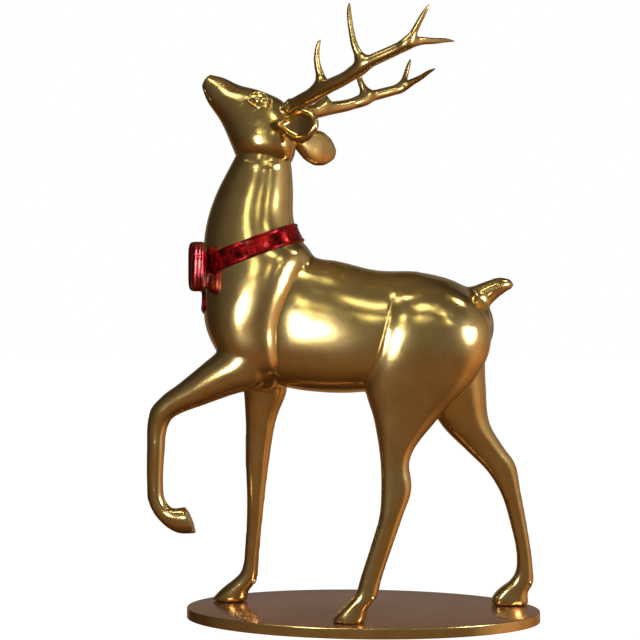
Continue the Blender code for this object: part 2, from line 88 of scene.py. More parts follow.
# Ribs across each form, from its front or lower edge to its rear or upper edge: x and z of the one, x and
# z of the other, the side distance of its middle from the stag's midplane, and half its width.
HEAD_RIBS = (
    (-21.6, 77.6, -11.9, 77.0, 0.0, 3.5),
    (-22.0, 78.6, -11.5, 78.3, 0.0, 4.2),
    (-22.5, 79.8, -11.3, 80.2, 0.0, 4.5),
    (-23.3, 81.7, -11.3, 83.5, 0.0, 4.3),
    (-24.1, 83.4, -12.8, 86.3, 0.0, 3.9),
    (-25.4, 85.4, -17.1, 88.7, 0.0, 3.1),
    (-26.5, 87.0, -21.3, 90.0, 0.0, 2.2),
    (-27.0, 88.1, -23.8, 91.2, 0.0, 1.7),
    (-27.4, 89.3, -25.8, 91.7, 0.0, 1.3),
)
NECK_RIBS = (
    (-21.1, 78.8, -12.5, 78.7, 0.0, 3.5),
    (-23.0, 75.2, -12.0, 75.3, 0.0, 3.9),
    (-24.7, 71.9, -11.8, 72.2, 0.0, 4.4),
    (-26.8, 65.4, -11.5, 66.0, 0.0, 5.3),
    (-27.2, 61.6, -10.1, 63.0, 0.0, 5.9),
    (-27.3, 58.2, -8.2, 60.6, 0.0, 6.6),
    (-27.1, 54.8, -9.2, 56.9, 0.0, 7.3),
    (-26.5, 47.9, -12.4, 48.2, 0.0, 7.8),
    (-23.7, 42.7, -12.9, 41.6, 0.0, 7.0),
    (-19.9, 38.6, -14.8, 38.2, 0.0, 3.6),
)
BARREL_RIBS = (
    (-17.1, 40.7, -17.1, 54.8, 0.0, 4.8),
    (-14.0, 38.5, -13.2, 60.2, 0.0, 6.4),
    (-6.8, 37.3, -5.5, 59.9, 0.0, 7.4),
    (1.4, 37.5, 2.4, 58.1, 0.0, 7.8),
    (10.5, 39.4, 10.5, 57.7, 0.0, 7.2),
    (17.0, 42.6, 17.0, 55.6, 0.0, 6.6),
    (20.4, 45.0, 20.4, 52.6, 0.0, 4.8),
)
BARREL_SAG = 0.22
HIND_LEFT_RIBS = (
    (8.0, 56.2, 14.8, 55.8, -2.0, 2.1),
    (4.6, 54.2, 18.0, 53.7, -3.0, 3.5),
    (2.3, 49.2, 21.2, 48.9, -3.8, 4.5),
    (1.0, 43.2, 20.9, 43.6, -4.2, 4.4),
    (0.5, 39.3, 18.9, 40.0, -4.4, 3.8),
    (2.1, 32.7, 12.5, 33.1, -4.9, 2.7),
    (3.1, 26.0, 7.9, 26.1, -5.7, 1.6),
    (3.2, 22.4, 8.3, 22.1, -5.9, 1.5),
    (2.9, 17.3, 6.6, 16.7, -6.3, 1.3),
    (1.8, 13.4, 5.2, 12.6, -6.5, 1.2),
    (-0.3, 6.9, 3.1, 6.2, -6.8, 1.2),
    (-0.9, 4.9, 2.6, 4.2, -6.9, 1.3),
    (-1.9, 3.7, 1.7, 3.0, -7.0, 1.45),
    (-2.9, 2.7, 1.0, 2.2, -7.0, 1.55),
    (-4.1, 1.5, 0.9, 1.2, -7.0, 1.7),
    (-5.1, 0.0, 0.7, 0.0, -7.0, 1.9),
)
HIND_RIGHT_RIBS = (
    (8.2, 56.2, 15.2, 56.0, 2.0, 2.1),
    (5.4, 54.3, 18.4, 53.9, 3.0, 3.5),
    (4.6, 50.3, 20.7, 50.0, 3.8, 4.4),
    (5.7, 46.1, 21.1, 46.7, 3.9, 4.5),
    (10.0, 38.3, 21.4, 38.5, 4.2, 3.7),
    (14.0, 31.0, 22.2, 31.5, 4.5, 2.7),
    (18.2, 26.8, 24.5, 27.6, 4.9, 2.0),
    (21.7, 23.3, 26.7, 24.4, 5.2, 1.6),
    (24.0, 19.6, 27.5, 20.2, 5.3, 1.3),
    (25.8, 14.0, 28.6, 14.4, 5.5, 1.2),
    (26.9, 7.7, 29.6, 7.8, 5.6, 1.2),
    (26.7, 5.7, 29.8, 5.6, 5.6, 1.25),
    (25.6, 4.0, 29.7, 3.5, 5.6, 1.4),
    (24.0, 2.8, 28.9, 2.3, 5.6, 1.55),
    (22.7, 1.3, 28.9, 1.2, 5.6, 1.7),
    (22.4, 0.0, 29.0, 0.0, 5.6, 1.9),
)
FORE_RIGHT_RIBS = (
    (-22.9, 47.9, -15.1, 47.9, 4.2, 3.1),
    (-20.9, 37.4, -13.2, 37.2, 4.6, 2.4),
    (-20.6, 32.9, -14.9, 32.7, 4.9, 1.9),
    (-20.6, 24.6, -16.4, 24.4, 5.2, 1.5),
    (-20.4, 17.0, -17.3, 17.0, 5.4, 1.2),
    (-20.8, 9.0, -18.1, 8.8, 5.5, 1.1),
    (-21.1, 6.3, -18.3, 6.1, 5.6, 1.2),
    (-21.7, 4.8, -18.5, 4.2, 5.6, 1.3),
    (-22.9, 3.7, -19.2, 2.8, 5.6, 1.4),
    (-24.9, 2.1, -20.1, 1.6, 5.6, 1.6),
    (-26.9, 0.0, -20.1, 0.0, 5.6, 1.8),
)
FORE_LEFT_RIBS = (
    (-21.1, 47.9, -14.0, 43.6, -4.2, 3.1),
    (-24.2, 44.3, -17.5, 38.2, -4.5, 3.0),
    (-26.1, 42.7, -20.8, 37.3, -4.7, 2.7),
    (-30.7, 38.9, -26.5, 35.3, -5.1, 2.0),
    (-33.6, 36.7, -30.3, 33.9, -5.2, 1.7),
    (-35.2, 34.9, -31.7, 33.0, -5.3, 1.55),
    (-35.8, 32.6, -32.5, 31.3, -5.3, 1.4),
    (-35.9, 28.6, -32.8, 27.9, -5.5, 1.25),
    (-35.9, 22.2, -33.1, 22.2, -5.6, 1.1),
    (-35.7, 19.5, -32.9, 20.0, -5.6, 1.2),
    (-34.1, 16.5, -31.8, 18.3, -5.6, 1.3),
    (-30.5, 14.0, -30.1, 18.4, -5.6, 1.6),
    (-27.5, 14.0, -29.3, 18.4, -5.6, 1.7),
)
TAIL_RIBS = (
    (18.6, 50.8, 16.6, 55.6, 0.0, 1.7),
    (20.9, 51.5, 18.3, 55.3, 0.0, 1.7),
    (22.9, 53.2, 21.2, 56.3, 0.0, 1.4),
    (24.3, 54.3, 23.5, 56.9, 0.0, 1.2),
    (25.0, 54.7, 24.8, 56.6, 0.0, 0.9),
)

# Antler points in hundredths: x, side distance, z and radius.
ANTLER_SEAT = (-11.9, 3.2, 85.4, 1.25)
ANTLER_BEAM = (
    (-7.8, 7.0, 86.7, 1.25),
    (-5.4, 9.0, 87.6, 1.15),
    (-2.9, 10.7, 88.3, 1.05),
    (-1.0, 12.0, 89.2, 1.03),
    (0.9, 13.2, 90.3, 1.01),
    (3.5, 14.4, 91.2, 0.95),
    (5.5, 15.2, 91.9, 0.92),
    (7.2, 16.0, 92.5, 0.86),
    (9.2, 15.2, 93.2, 0.64),
    (11.2, 13.8, 93.5, 0.50),
    (13.1, 12.2, 94.0, 0.37),
    (14.7, 10.8, 94.2, 0.14),
)
ANTLER_TINES = (
    ((-8.0, 6.6, 86.6, 0.60), (-6.5, 7.6, 88.3, 0.82), (-7.0, 8.0, 90.5, 0.62), (-7.3, 8.5, 92.0, 0.50),
     (-7.2, 9.0, 93.4, 0.42), (-6.9, 9.4, 94.6, 0.32), (-6.6, 9.6, 95.1, 0.13)),
    ((-1.6, 11.6, 89.0, 0.55), (0.3, 12.8, 90.2, 0.76), (-0.4, 13.0, 91.7, 0.70), (-1.0, 13.3, 93.0, 0.58),
     (-1.5, 13.5, 95.2, 0.48), (-1.8, 13.8, 97.2, 0.43), (-1.9, 14.0, 98.8, 0.34), (-1.8, 14.2, 99.7, 0.14)),
    ((6.3, 15.6, 92.2, 0.45), (7.3, 16.2, 92.9, 0.62), (8.0, 16.4, 93.9, 0.58), (8.6, 16.8, 95.0, 0.50),
     (9.2, 17.2, 96.1, 0.44), (9.9, 17.6, 97.3, 0.36), (10.5, 17.9, 98.2, 0.13)),
)
ANTLER_TOP_FORK = 7.7
ANTLER_TOP_SHIFT = {-1: 0.04, 1: -0.22}
ANTLER_TOP_RISE = {-1: 0.0, 1: 0.10}
# How far each tine's root and tip lie off the drawn ones along x: the antlers differ a little.
TINE_SHIFTS = {-1: ((0.0, 0.0), (0.0, 0.0), (0.0, 0.0)), 1: ((-0.1, -1.2), (0.6, 0.6), (0.0, -1.3))}
PEDICLE_LENGTH = 3.2
PEDICLE_STATIONS = ((1.0, 1.3), (0.4, 1.02), (0.0, 1.0))
ANTLER_BURR = ((-0.3, 0.9), (0.0, 1.12), (0.3, 1.16), (0.6, 1.02), (0.9, 0.8))

# Ears: root and tip of each, the way that its hollow faces, and stations along it and along its hollow,
# each a share of the length, half the width and half the depth.
EAR_ENDS = {-1: ((-13.7, 4.2, 82.1), (-7.1, 8.3, 81.5)), 1: ((-12.4, 4.4, 81.4), (-4.9, 9.6, 79.3))}
EAR_FACING = {-1: Vector((-0.45, -0.88, 0.05)), 1: Vector((-0.62, 0.78, 0.05))}
EAR_STATIONS = (
    (-0.24, 0.9, 0.9),
    (-0.10, 1.1, 1.15),
    (0.02, 1.15, 1.2),
    (0.12, 1.45, 1.15),
    (0.28, 2.3, 1.15),
    (0.44, 2.95, 1.15),
    (0.58, 3.15, 1.15),
    (0.74, 2.8, 1.0),
    (0.88, 2.0, 0.75),
    (0.97, 1.1, 0.5),
)
EAR_HOLLOW_STATIONS = (
    (0.08, 0.10, 0.3),
    (0.20, 0.80, 0.75),
    (0.36, 1.70, 1.05),
    (0.54, 2.20, 1.15),
    (0.70, 2.00, 1.05),
    (0.83, 1.25, 0.7),
    (0.92, 0.40, 0.3),
)
EAR_HOLLOW_SHIFT = 0.85
RIBBON_MIDDLE = (-18.6, 61.6)
BOW_MIDDLE = (-27.6, 58.5)

# Lines on the flanks, as points of x and z. A cut or a bead has a radius and is sunk by a depth. Relief has
# a lift and a width. Both are in metres.
HAUNCH_LINE = ((5.2, 53.4), (4.9, 52.0), (4.4, 50.3), (3.3, 46.3), (2.1, 42.6), (0.9, 39.8), (0.4, 38.4))
HAUNCH_CUT = (0.0046, 0.0002)
TAIL_LINE = ((21.2, 53.7), (22.7, 55.0), (24.4, 55.9))
TAIL_CUT = (0.0050, 0.0005)
TAIL_ROOT = ((18.6, 55.0), (19.5, 53.8), (20.6, 52.7))
TAIL_ROOT_BEAD = (0.0070, 0.0030)
NECK_RIM = ((-20.9, 76.7), (-19.8, 76.1), (-17.8, 75.7), (-15.8, 75.6), (-13.8, 75.9), (-12.2, 76.4))
NECK_RIM_RELIEF = (0.004, 0.012)
SOCKET = ((-20.2, 86.4), (-19.6, 85.3), (-18.5, 84.3), (-17.2, 83.9))
SOCKET_RELIEF = (-0.003, 0.022)
LID = (
    (-19.3, 86.7), (-18.6, 87.5), (-17.7, 87.9), (-16.8, 87.8), (-16.1, 87.2),
    (-15.9, 86.3), (-16.3, 85.5), (-17.1, 85.2), (-17.9, 85.45), (-18.7, 86.0),
)
LID_BEAD = (0.0070, -0.0006)
BEHIND_EYE = ((-15.7, 88.1), (-15.2, 87.2), (-15.1, 86.2), (-15.3, 85.2), (-15.7, 84.5))
BEHIND_EYE_CUT = (0.0050, 0.0008)
MOUTH = ((-27.2, 89.3), (-26.75, 88.7), (-26.3, 87.9), (-25.7, 87.0))
MOUTH_CUT = (0.0048, 0.0008)
NOSE = ((-26.5, 90.9), (-26.15, 90.5), (-25.8, 90.0))
NOSE_CUT = (0.0036, 0.0006)
RELIEF_FADE = 0.2  # the share of a line at each end over which its relief fades
RELIEF_REACH = 3  # how far from its line a relief is worked, in widths
FLANK_FACING = 0.1  # how far sideways a normal points at least on a flank
BEAD_END = 0.35  # the share of its radius that an open bead has at its ends
BEAD_SWELL = 4.0  # how fast an open bead swells from its ends
WELL_OUTSIDE = 30  # a side distance that is past every flank

# Lumps: middles in hundredths, radii in metres.
EYE_MIDDLE = (-17.45, 86.5)
EYEBALL_RADII = (0.030, 0.019, 0.024)
EYEBALL_DEPTH = 0.009
BROW_MIDDLE = (-17.4, 2.65, 86.35)
BROW_RADII = (0.075, 0.030, 0.052)
FORE_DEWCLAWS = (-19.2, 5.6, 3.7)
HIND_LEFT_DEWCLAWS = (1.6, -7.0, 4.0)
HIND_RIGHT_DEWCLAWS = (28.95, 5.6, 3.9)
DEWCLAW_SPREAD = 0.75
DEWCLAW_RADII = (0.015, 0.011, 0.016)

# Where joins are melted: x and z in hundredths, and the reach in metres and the passes.
HAUNCH_TOPS = ((7.0, 54.0), (10.5, 54.5), (14.0, 54.0), (17.0, 52.0))
HAUNCH_EASE = (0.10, 14)
WITHERS = (-7.9, 60.0)
WITHERS_EASE = (0.075, 30)

# Squareness: an ellipse has 2 and a squarer outline has more. Below its top the shoulder gains some over its
# drop, at its front and its rear, and behind its start the brow gains some over its reach.
ELLIPSE = 2.0
NAPE_SQUARENESS = 2.1
HAUNCH_SQUARENESS = (2.8, 2.2)
BARREL_SQUARENESS = (2.2, 2.2)
SHOULDER_TOP = 66.0
SHOULDER_DROP = 20.0
SHOULDER_GAIN = (0.4, 0.9)
BROW_START = -23.5
BROW_REACH = 4.0
BROW_GAIN = 0.9


def stag_point(x, side, z):
    """A point given in hundredths of the stag's height, in metres."""
    return Vector((x * UNIT, STAG_SIDE_SHIFT + side * UNIT, BASE_THICKNESS + JOINT_GAP + z * UNIT))


def smooth_stations(stations, steps=STEPS_PER_RIB):
    """Stations along a smooth curve through the given ones."""
    last = len(stations) - 1
    spans = [math.dist(stations[i], stations[i + 1]) for i in range(last)]
    slopes = []
    for i in range(last + 1):
        before, after = max(i - 1, 0), min(i, last - 1)
        slope = []
        for k in range(len(stations[i])):
            left = (stations[before + 1][k] - stations[before][k]) / spans[before]
            right = (stations[after + 1][k] - stations[after][k]) / spans[after]
            slope.append((left * spans[after] + right * spans[before]) / (spans[before] + spans[after]))
        slopes.append(slope)
    result = []
    for i in range(last):
        for step in range(steps):
            t = step / steps
            start = 2 * t**3 - 3 * t**2 + 1
            rise = (t**3 - 2 * t**2 + t) * spans[i]
            fall = (t**3 - t**2) * spans[i]
            result.append([
                start * a + (1 - start) * b + rise * c + fall * d
                for a, b, c, d in zip(stations[i], stations[i + 1], slopes[i], slopes[i + 1])
            ])
    result.append(list(stations[last]))
    return result


def rib_rings(ribs, growth=0.0):
    """Rings of (middle, half axis, other half axis) for a table of ribs, grown outwards by a length."""
    rings = []
    for front_x, front_z, rear_x, rear_z, side, width in smooth_stations(ribs):
        front, rear = stag_point(front_x, side, front_z), stag_point(rear_x, side, rear_z)
        half = (rear - front) / 2
        half += half.normalized() * growth
        rings.append(((front + rear) / 2, half, Vector((0, width * UNIT + growth, 0))))
    return rings


def tube_rings(points, steps=STEPS_PER_RIB):
    """Round rings along points of (x, y, z, radius) in metres, without a twist between them."""
    stations = smooth_stations(points, steps)
    rings, turn = [], None
    for i, (x, y, z, radius) in enumerate(stations):
        before = Vector(stations[max(i - 1, 0)][:3])
        after = Vector(stations[min(i + 1, len(stations) - 1)][:3])
        course = (after - before).normalized()
        if turn is None:
            turn = course.to_track_quat("Z", "Y")
        else:
            turn = (turn @ Vector((0, 0, 1))).rotation_difference(course) @ turn
        rings.append((Vector((x, y, z)), turn @ Vector((radius, 0, 0)), turn @ Vector((0, radius, 0))))
    return rings


def skin(rings, sides, domes=(0.0, 0.0), squareness=(ELLIPSE, ELLIPSE), sag=0.0):
    """A closed skin bridged over circles that are stretched to the rings, with domed ends. A dome's height
    is a share of its end's half axis. Squareness is that of the front and rear of each ring, or a function
    of its middle that gives them. Sag carries the sides towards the front or lower edge."""
    rings = list(rings)
    for end, dome in enumerate(domes):
        here, neighbour = (rings[0], rings[1]) if end == 0 else (rings[-1], rings[-2])
        outward = (here[0] - neighbour[0]).normalized() * here[1].length * dome
        for degrees in DOME_DEGREES if dome else ():
            angle = math.radians(degrees)
            ring = (here[0] + outward * math.sin(angle), here[1] * math.cos(angle), here[2] * math.cos(angle))
            rings.insert(0 if end == 0 else len(rings), ring)
    bm = bmesh.new()
    loops = []
    for middle, half, other in rings:
        corners = squareness(middle) if callable(squareness) else squareness
        circle = bmesh.ops.create_circle(bm, segments=sides, radius=1.0)["verts"]
        for vert in circle:
            across, along = vert.co.x, vert.co.y
            power = 2 / corners[across > 0]
            across = math.copysign(abs(across) ** power, across)
            along = math.copysign(abs(along) ** power, along)
            vert.co = middle + half * (across - sag * along**2) + other * along
        loops.append(list(dict.fromkeys(edge for vert in circle for edge in vert.link_edges)))
    for lower, upper in zip(loops, loops[1:]):
        bmesh.ops.bridge_loops(bm, edges=lower + upper)
    bmesh.ops.holes_fill(bm, edges=loops[0] + loops[-1], sides=0)
    bmesh.ops.recalc_face_normals(bm, faces=bm.faces)
    return bm


def gather(skins, name):
    """One mesh object from several skins, which are used up."""
    whole = bmesh.new()
    for part in skins:
        mesh = bpy.data.meshes.new("part")
        part.to_mesh(mesh)
        part.free()
        whole.from_mesh(mesh)
        bpy.data.meshes.remove(mesh)
    mesh = bpy.data.meshes.new(name)
    whole.to_mesh(mesh)
    whole.free()
    thing = bpy.data.objects.new(name, mesh)
    bpy.context.scene.collection.objects.link(thing)
    return thing


def flowing_skin(paths, grain):
    """One skin round several paths of (x, y, z, radius) in metres, which flow together where they meet."""
    field = bpy.data.metaballs.new("flow")
    field.resolution = field.render_resolution = grain * FLOW_SCALE
    for path in paths:
        stations = smooth_stations(path, STEPS_ALONG_BEAM)
        kept = stations[:1]
        for station in stations:
            if math.dist(station[:3], kept[-1][:3]) >= station[3] / 4:
                kept.append(station)
        for i, (x, y, z, radius) in enumerate(kept):
            before, after = max(i - 1, 0), min(i + 1, len(kept) - 1)
            spacing = math.dist(kept[before][:3], kept[after][:3]) / (after - before)
            ball = field.elements.new(type="BALL")
            ball.co = Vector((x, y, z)) * FLOW_SCALE
            ball.radius = FLOW_REACH * radius * FLOW_SCALE
            ball.stiffness = FLOW_STRENGTH * spacing / radius
    thing = bpy.data.objects.new("flow", field)
    bpy.context.scene.collection.objects.link(thing)
    bpy.context.view_layer.update()
    mesh = bpy.data.meshes.new_from_object(thing.evaluated_get(bpy.context.evaluated_depsgraph_get()))
    bm = bmesh.new()
    bm.from_mesh(mesh)
    bmesh.ops.scale(bm, vec=(1 / FLOW_SCALE,) * 3, verts=bm.verts)
    bpy.data.meshes.remove(mesh)
    bpy.data.objects.remove(thing)
    bpy.data.metaballs.remove(field)
    return bm


def settle(thing):
    """Applies the piece's modifiers."""
    bpy.context.view_layer.update()
    mesh = bpy.data.meshes.new_from_object(thing.evaluated_get(bpy.context.evaluated_depsgraph_get()))
    thing.modifiers.clear()
    thing.data = mesh
    thing.data.name = thing.name
    return thing


def combine(first, others, operation):
    """Joins or cuts the first closed piece by the others, which are used up."""
    for other in others:
        step = first.modifiers.new("combine", "BOOLEAN")
        step.operation = operation
        step.solver = "MANIFOLD"
        step.object = other
    settle(first)
    for other in others:
        bpy.data.objects.remove(other)
    return first


def cast(thing, grain, passes):
    """Melts overlapping forms into one even skin and softens the joins, as in a fiberglass casting."""
    melt = thing.modifiers.new("melt", "REMESH")
    melt.mode = "VOXEL"
    melt.voxel_size = grain
    soften = thing.modifiers.new("soften", "SMOOTH")
    soften.iterations = passes
    soften.factor = SOFTENING
    return settle(thing)


def flank_reach(places, normals, side, path, reach):
    """Which points of one flank lie near a path of (x, z) in hundredths, seen from the side; how far they
    lie from it; and where along it."""
    line = np.array([tuple(stag_point(x, 0, z))[::2] for x, z in smooth_stations(path, STEPS_ALONG_LINE)])
    flat = places[:, ::2]
    near = np.nonzero(((flat > line.min(axis=0) - reach) & (flat < line.max(axis=0) + reach)).all(axis=1)
                      & ((places[:, 1] - STAG_SIDE_SHIFT) * side > 0)
                      & (normals[:, 1] * side > FLANK_FACING))[0]
    gaps = np.linalg.norm(flat[near][:, None, :] - line[None], axis=2)
    closest = gaps.argmin(axis=1)
    gaps = gaps.min(axis=1)
    keep = gaps < reach
    return near[keep], gaps[keep], closest[keep] / (len(line) - 1)


def surface_of(mesh):
    """The places and the normals of a mesh's points."""
    count = len(mesh.vertices)
    places, normals = np.empty(count * 3), np.empty(count * 3)
    mesh.vertices.foreach_get("co", places)
    mesh.vertices.foreach_get("normal", normals)
    return places.reshape(-1, 3), normals.reshape(-1, 3)


def work_surface(thing, side, path, lift, width):
    """Raises or sinks the surface of one flank along a path, fading out at its ends."""
    places, normals = surface_of(thing.data)
    near, gaps, share = flank_reach(places, normals, side, path, RELIEF_REACH * width)
    amount = lift * np.exp(-((gaps / width) ** 2)) * np.clip(np.minimum(share, 1 - share) / RELIEF_FADE, 0, 1)
    places[near] += normals[near] * amount[:, None]
    thing.data.vertices.foreach_set("co", places.ravel())
    thing.data.update()


def ease(thing, x, z, reach, passes):
    """Melts what stands out round a place, given in hundredths as seen from the side."""
    bm = bmesh.new()
    bm.from_mesh(thing.data)
    middle = stag_point(x, 0, z)
    near = [v for v in bm.verts if math.hypot(v.co.x - middle.x, v.co.z - middle.z) < reach]
    for _ in range(passes):
        bmesh.ops.smooth_vert(bm, verts=near, factor=SOFTENING,
                              use_axis_x=True, use_axis_y=True, use_axis_z=True)
    bm.to_mesh(thing.data)
    bm.free()


def bead(thing, side, path, radius, depth, closed=False):
    """A round bead laid along a path of (x, z) in hundredths on one flank, sunk by a depth."""
    course = smooth_stations(list(path) + [path[0]] if closed else path, STEPS_ALONG_BEAD)
    points = []
    for i, (x, z) in enumerate(course):
        hit, place, normal, _ = thing.ray_cast(stag_point(x, side * WELL_OUTSIDE, z), Vector((0, -side, 0)))
        share = i / (len(course) - 1)
        swell = 1.0 if closed else min(1.0, BEAD_END + BEAD_SWELL * min(share, 1 - share))
        if hit:
            points.append((*(place - normal * depth), radius * swell))
    return skin(tube_rings(points, 1), BEAD_SIDES, BEAD_DOMES)


def ellipsoid(place, radii, sides):
    """A rounded lump at a place in metres."""
    bm = bmesh.new()
    shape = Matrix.Translation(place) @ Matrix.Diagonal((*radii, 1.0))
    bmesh.ops.create_uvsphere(bm, u_segments=sides, v_segments=sides // 2 + 2, radius=1.0, matrix=shape)
    return bm


# The stag's casting.
def dewclaws(x, side, z):
    """The two small claws behind a pastern."""
    places = [stag_point(x, side + spread, z) for spread in (-DEWCLAW_SPREAD, DEWCLAW_SPREAD)]
    return [ellipsoid(place, DEWCLAW_RADII, CLAW_SIDES) for place in places]


def neck_squareness(middle):
    """The neck is round, and the shoulder below it ends squarely behind."""
    low = (stag_point(0, 0, SHOULDER_TOP).z - middle.z) / (SHOULDER_DROP * UNIT)
    low = min(1.0, max(0.0, low))
    front, rear = SHOULDER_GAIN
    return ELLIPSE + front * low, NAPE_SQUARENESS + rear * low**2


def neck_skin(growth=0.0):
    return skin(rib_rings(NECK_RIBS, growth), BODY_SIDES, (0.3, 0.3), neck_squareness)


def make_front():
    """The neck, the shoulders and the forelegs."""
    skins = [neck_skin()]
    for ribs in (FORE_LEFT_RIBS, FORE_RIGHT_RIBS):
        skins.append(skin(rib_rings(ribs), LIMB_SIDES, (0.4, 0.0)))
    front = cast(gather(skins, "front"), *FRONT_CAST)
    for side in (-1, 1):
        work_surface(front, side, NECK_RIM, *NECK_RIM_RELIEF)
    return combine(front, [gather(dewclaws(*FORE_DEWCLAWS), "claws")], "UNION")


def make_rear():
    """The barrel, the hind legs and the tail."""
    skins = [skin(rib_rings(BARREL_RIBS), BODY_SIDES, (0.5, 0.5), BARREL_SQUARENESS, BARREL_SAG)]
    for ribs in (HIND_LEFT_RIBS, HIND_RIGHT_RIBS):
        skins.append(skin(rib_rings(ribs), LIMB_SIDES, (0.3, 0.0), HAUNCH_SQUARENESS))
    skins.append(skin(rib_rings(TAIL_RIBS), SMALL_SIDES, (0.4, 0.8)))
    rear = cast(gather(skins, "rear"), *REAR_CAST)
    for place in HAUNCH_TOPS:
        ease(rear, *place, *HAUNCH_EASE)
    cuts, rims = [], []
    for side in (-1, 1):
        cuts.append(bead(rear, side, HAUNCH_LINE, *HAUNCH_CUT))
        cuts.append(bead(rear, side, TAIL_LINE, *TAIL_CUT))
        rims.append(bead(rear, side, TAIL_ROOT, *TAIL_ROOT_BEAD))
    combine(rear, [gather(cuts, "cuts")], "DIFFERENCE")
    claws = dewclaws(*HIND_LEFT_DEWCLAWS) + dewclaws(*HIND_RIGHT_DEWCLAWS)
    return combine(rear, [gather(rims, "rims"), gather(claws, "claws")], "UNION")


def ear_rings(stations, mirror, shift=0.0):
    """Rings across an ear: its width stands nearly upright and its hollow faces forward and out."""
    root, tip = [stag_point(x, mirror * side, z) for x, side, z in EAR_ENDS[mirror]]
    along = tip - root
    across = along.cross(EAR_FACING[mirror]).normalized()
    facing = across.cross(along).normalized()
    rings = []
    for share, width, depth in smooth_stations(stations):
        middle = root + along * share + facing * shift * UNIT
        rings.append((middle, facing * depth * UNIT, across * width * UNIT))
    return rings


def make_ear(mirror):
    """One ear with its hollow cut."""
    ear = gather([skin(ear_rings(EAR_STATIONS, mirror), SMALL_SIDES, (0.0, 0.5))], "ear")
    rings = ear_rings(EAR_HOLLOW_STATIONS, mirror, EAR_HOLLOW_SHIFT)
    hollow = gather([skin(rings, SMALL_SIDES, (0.3, 0.3), (3.4, 3.4))], "hollow")
    return combine(ear, [hollow], "DIFFERENCE")


def antler_path(points, mirror):
    """An antler's points in metres, with the small differences between the two antlers."""
    path = []
    for x, side, z, radius in points:
        stray = ANTLER_TOP_SHIFT[mirror] * max(0.0, x - ANTLER_TOP_FORK)
        rise = ANTLER_TOP_RISE[mirror] * max(0.0, x - ANTLER_TOP_FORK)
        path.append((*stag_point(x + stray, mirror * side, z + rise), radius * UNIT))
    return path


def seat_line(mirror):
    """The middle of an antler's joint with its stump, the direction that it grows in, and its radius."""
    seat, first = antler_path((ANTLER_SEAT, ANTLER_BEAM[0]), mirror)
    middle = Vector(seat[:3])
    return middle, (Vector(first[:3]) - middle).normalized(), seat[3]


def make_pedicle(mirror):
    """The bony stump that an antler sits on."""
    middle, outward, radius = seat_line(mirror)
    root = middle - outward * PEDICLE_LENGTH * UNIT
    points = [(*middle.lerp(root, share), radius * swell) for share, swell in PEDICLE_STATIONS]
    return skin(tube_rings(points), SMALL_SIDES, (0.3, 0.0))


def head_squareness(middle):
    """The muzzle is round, and the brow behind it squarer on top."""
    brow = (middle.x / UNIT - BROW_START) / BROW_REACH
    return ELLIPSE, ELLIPSE + BROW_GAIN * min(1.0, max(0.0, brow))


def make_eye(head, side):
    """An eyeball within the ring of its lid."""
    x, z = EYE_MIDDLE
    _, place, normal, _ = head.ray_cast(stag_point(x, side * WELL_OUTSIDE, z), Vector((0, -side, 0)))
    ball = ellipsoid(place - normal * EYEBALL_DEPTH, EYEBALL_RADII, EYE_SIDES)
    return cast(gather([bead(head, side, LID, *LID_BEAD, closed=True), ball], "eye"), *EYE_CAST)


def make_head():
    """The head with its brows, stumps, eyes, ears, mouth and nose."""
    skins = [skin(rib_rings(HEAD_RIBS), BODY_SIDES, (0.25, 0.35), head_squareness)]
    x, side, z = BROW_MIDDLE
    for mirror in (-1, 1):
        skins += [make_pedicle(mirror), ellipsoid(stag_point(x, mirror * side, z), BROW_RADII, LIMB_SIDES)]
    head = cast(gather(skins, "head"), *HEAD_CAST)
    cuts, pieces = [], []
    for side in (-1, 1):
        work_surface(head, side, SOCKET, *SOCKET_RELIEF)
        cuts.append(bead(head, side, BEHIND_EYE, *BEHIND_EYE_CUT))
        cuts.append(bead(head, side, MOUTH, *MOUTH_CUT))
        cuts.append(bead(head, side, NOSE, *NOSE_CUT))
        pieces += [make_eye(head, side), cast(make_ear(side), *EAR_CAST)]
    combine(head, [gather(cuts, "cuts")], "DIFFERENCE")
    return combine(head, pieces, "UNION")


def make_stag():
    stag = combine(make_front(), [make_rear()], "UNION")
    ease(stag, *WITHERS, *WITHERS_EASE)
    combine(stag, [make_head()], "UNION")
    stag.name = "stag_casting"
    return stag


def make_antler(mirror):
    """A beam and its tines in one flowing skin, with a burr at its foot, cut flat at the joint."""
    middle, outward, radius = seat_line(mirror)
    foot = middle + outward * JOINT_GAP
    beam = [(*(foot - outward * radius), radius), (*(foot + outward * radius), radius)]
    beam += antler_path(ANTLER_BEAM, mirror)
    paths = [beam]
    for points, (root, tip) in zip(ANTLER_TINES, TINE_SHIFTS[mirror]):
        last = len(points) - 1
        moved = [(x + root + (tip - root) * i / last, side, z, r) for i, (x, side, z, r) in enumerate(points)]
        paths.append(antler_path(moved, mirror))
    burr = [(*(foot + outward * radius * step), radius * size) for step, size in ANTLER_BURR]
    skins = [flowing_skin(paths, ANTLER_CAST[0]), skin(tube_rings(burr), SMALL_SIDES, (0.2, 0.2))]
    antler = cast(gather(skins, {-1: "left_antler", 1: "right_antler"}[mirror]), *ANTLER_CAST)
    bm = bmesh.new()
    bm.from_mesh(antler.data)
    everything = list(bm.verts) + list(bm.edges) + list(bm.faces)
    bmesh.ops.bisect_plane(bm, geom=everything, dist=1e-6, plane_co=foot, plane_no=outward, clear_inner=True)
    bmesh.ops.holes_fill(bm, edges=[edge for edge in bm.edges if edge.is_boundary], sides=0)
    bmesh.ops.recalc_face_normals(bm, faces=bm.faces)
    bm.to_mesh(antler.data)
    bm.free()
    return antler


